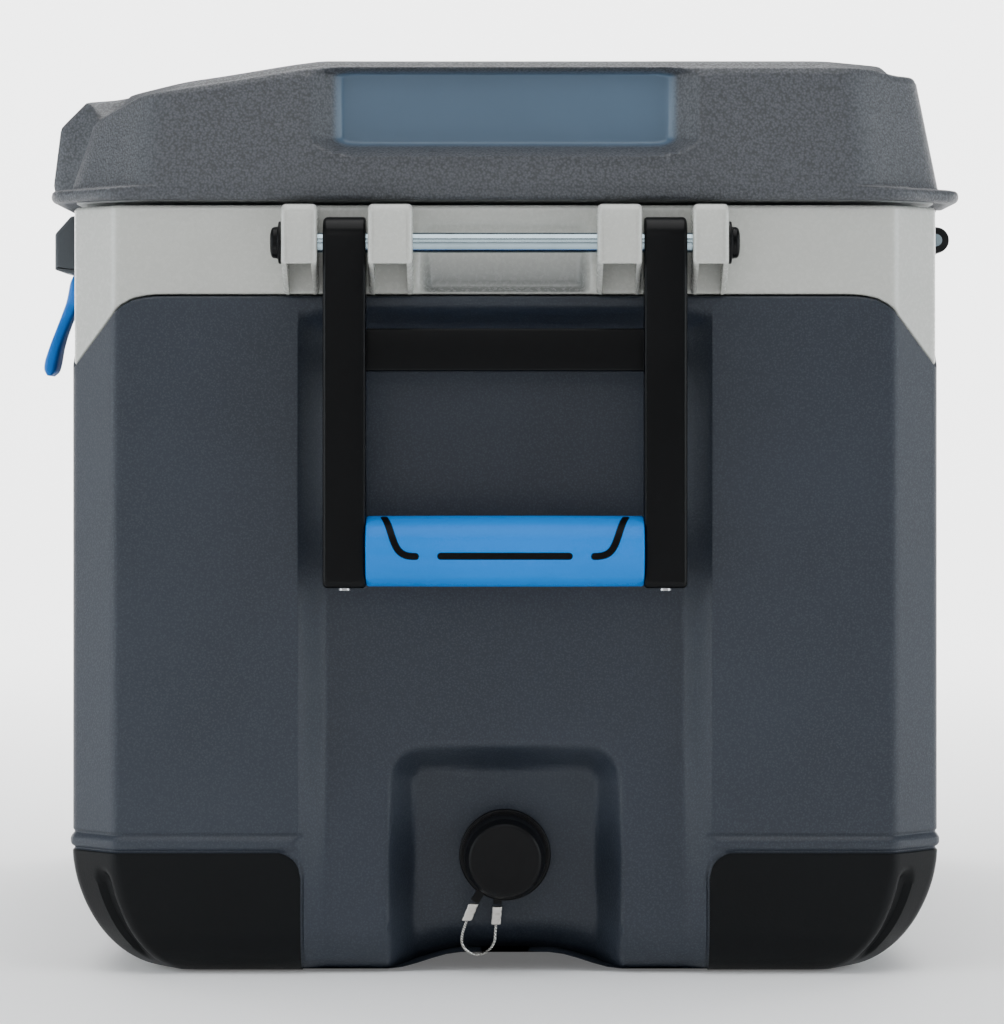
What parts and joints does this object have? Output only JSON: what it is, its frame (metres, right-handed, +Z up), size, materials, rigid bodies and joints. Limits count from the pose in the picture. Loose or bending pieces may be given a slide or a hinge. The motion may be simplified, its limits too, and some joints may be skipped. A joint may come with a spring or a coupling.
{
  "type": "hard cooler",
  "caption": "Hard-sided chest cooler with a hinged insulated lid, rubber latches, swing handles on rods, corner feet and a tethered drain cap.",
  "frame": {"origin": "on the ground under the middle of the whole object's box", "axes": "+X along the chest towards the drain end, +Y towards the hinges at the back, +Z up"},
  "size_m": [0.6772, 0.4535, 0.4344],
  "materials": {
    "shell": "satin",
    "collar": "satin",
    "liner": "satin",
    "foam": "matte",
    "foot": "satin",
    "screw_steel": "satin",
    "drain_black": "matte",
    "seal_rubber": "matte",
    "crimp": "satin",
    "wire": "satin",
    "lid": "satin",
    "latch_rubber": "satin",
    "rod_steel": "polished",
    "keeper": "satin",
    "hinge": "satin",
    "handle_black": "satin",
    "grip_blue": "satin",
    "inlay": "matte"
  },
  "bodies": {
    "tub": {"outer_shell": "shell", "collar": "collar", "inner_liner": "liner", "insulation_foam": "foam", "foot_drain_front": "foot", "foot_drain_rear": "foot", "foot_far_front": "foot", "foot_far_rear": "foot", "foot_screws": "screw_steel", "drain_spout": "drain_black", "drain_outer_gasket": "seal_rubber", "drain_inner_gasket": "seal_rubber", "drain_ring_nut": "drain_black", "tether_anchor": "drain_black", "ferrule_spout_end": "crimp", "tether_cable": "wire", "keeper_screws": "screw_steel", "hinge_body_screws": "screw_steel", "latch_keeper_drain_end": "keeper", "hinge_body_leaf_drain_end": "hinge", "hinge_pin_drain_end": "rod_steel", "handle_rod_drain_end": "rod_steel", "rod_end_caps_drain_end": "handle_black", "latch_keeper_far_end": "keeper", "hinge_body_leaf_far_end": "hinge", "hinge_pin_far_end": "rod_steel", "handle_rod_far_end": "rod_steel", "rod_end_caps_far_end": "handle_black"},
    "lid": {"lid_shell": "lid", "lid_liner": "liner", "lid_foam": "foam", "lid_gasket": "seal_rubber", "hinge_lid_screws": "screw_steel", "latch_pin_drain_end": "rod_steel", "hinge_lid_leaf_drain_end": "hinge", "latch_pin_far_end": "rod_steel", "hinge_lid_leaf_far_end": "hinge"},
    "tether_ring": {"tether_ring": "drain_black", "ferrule_cap_end": "crimp"},
    "drain_cap": {"drain_cap": "drain_black", "cap_seal": "seal_rubber"},
    "latch_drain_end": {"latch_drain_end": "latch_rubber"},
    "handle_drain_end": {"handle_frame_drain_end": "handle_black", "handle_grip_drain_end": "grip_blue", "grip_inlays_drain_end": "inlay", "grip_core_drain_end": "rod_steel", "handle_screws_drain_end": "screw_steel"},
    "latch_far_end": {"latch_far_end": "latch_rubber"},
    "handle_far_end": {"handle_frame_far_end": "handle_black", "handle_grip_far_end": "grip_blue", "grip_inlays_far_end": "inlay", "grip_core_far_end": "rod_steel", "handle_screws_far_end": "screw_steel"}
  },
  "joints": [
    {"name": "lid_hinge", "type": "hinge", "parent": "tub", "child": "lid", "pos_m": [0, 0.22025, 0.352], "axis": [-1, 0, 0], "range_deg": [0, 100]},
    {"name": "latch_swing_drain_end", "type": "hinge", "parent": "lid", "child": "latch_drain_end", "pos_m": [0.168, -0.20515, 0.372], "axis": [-1, 0, 0], "range_deg": [0, 110]},
    {"name": "latch_swing_far_end", "type": "hinge", "parent": "lid", "child": "latch_far_end", "pos_m": [-0.168, -0.20515, 0.372], "axis": [-1, 0, 0], "range_deg": [0, 110]},
    {"name": "handle_swing_drain_end", "type": "hinge", "parent": "tub", "child": "handle_drain_end", "pos_m": [0.322, 0.00685, 0.3458], "axis": [0, -1, 0], "range_deg": [0, 180]},
    {"name": "handle_swing_far_end", "type": "hinge", "parent": "tub", "child": "handle_far_end", "pos_m": [-0.322, 0.00685, 0.3458], "axis": [0, 1, 0], "range_deg": [0, 180]},
    {"name": "tether_ring_slide", "type": "slide", "parent": "tub", "child": "tether_ring", "axis": [1, 0, 0], "range_m": [0, 0.0091]},
    {"name": "drain_cap_turn", "type": "hinge", "parent": "tether_ring", "child": "drain_cap", "pos_m": [0.3, 0.00685, 0.0558], "axis": [1, 0, 0], "range_deg": [0, 1080]}
  ],
  "couplings": [
    {"joint": "tether_ring_slide", "follows": "drain_cap_turn", "m_per_rad": 0.00047746}
  ]
}
